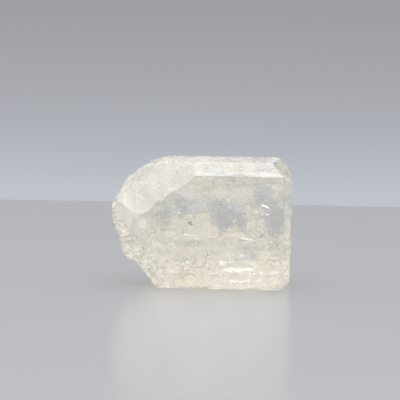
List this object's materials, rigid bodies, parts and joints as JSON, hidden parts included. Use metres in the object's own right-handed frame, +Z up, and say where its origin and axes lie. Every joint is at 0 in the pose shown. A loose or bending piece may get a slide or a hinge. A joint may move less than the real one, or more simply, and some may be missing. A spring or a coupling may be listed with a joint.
{
  "type": "topaz crystal",
  "caption": "Short clear topaz crystal lying on a prism face, with one flat bevelled end and one broken end of curved fractures and cleavage steps.",
  "frame": {"origin": "on the surface that the crystal rests on, under the middle of its bounding box", "axes": "+Z up, +X along the crystal's c axis towards its flat base, -Y towards the side that the picture shows"},
  "size_m": [0.0346, 0.0208, 0.0245],
  "materials": {
    "topaz": "clear to milky mineral with very pale champagne tint, glassy crystal faces and duller fractures"
  },
  "bodies": {
    "root": {"topaz_crystal": "topaz"}
  },
  "joints": []
}
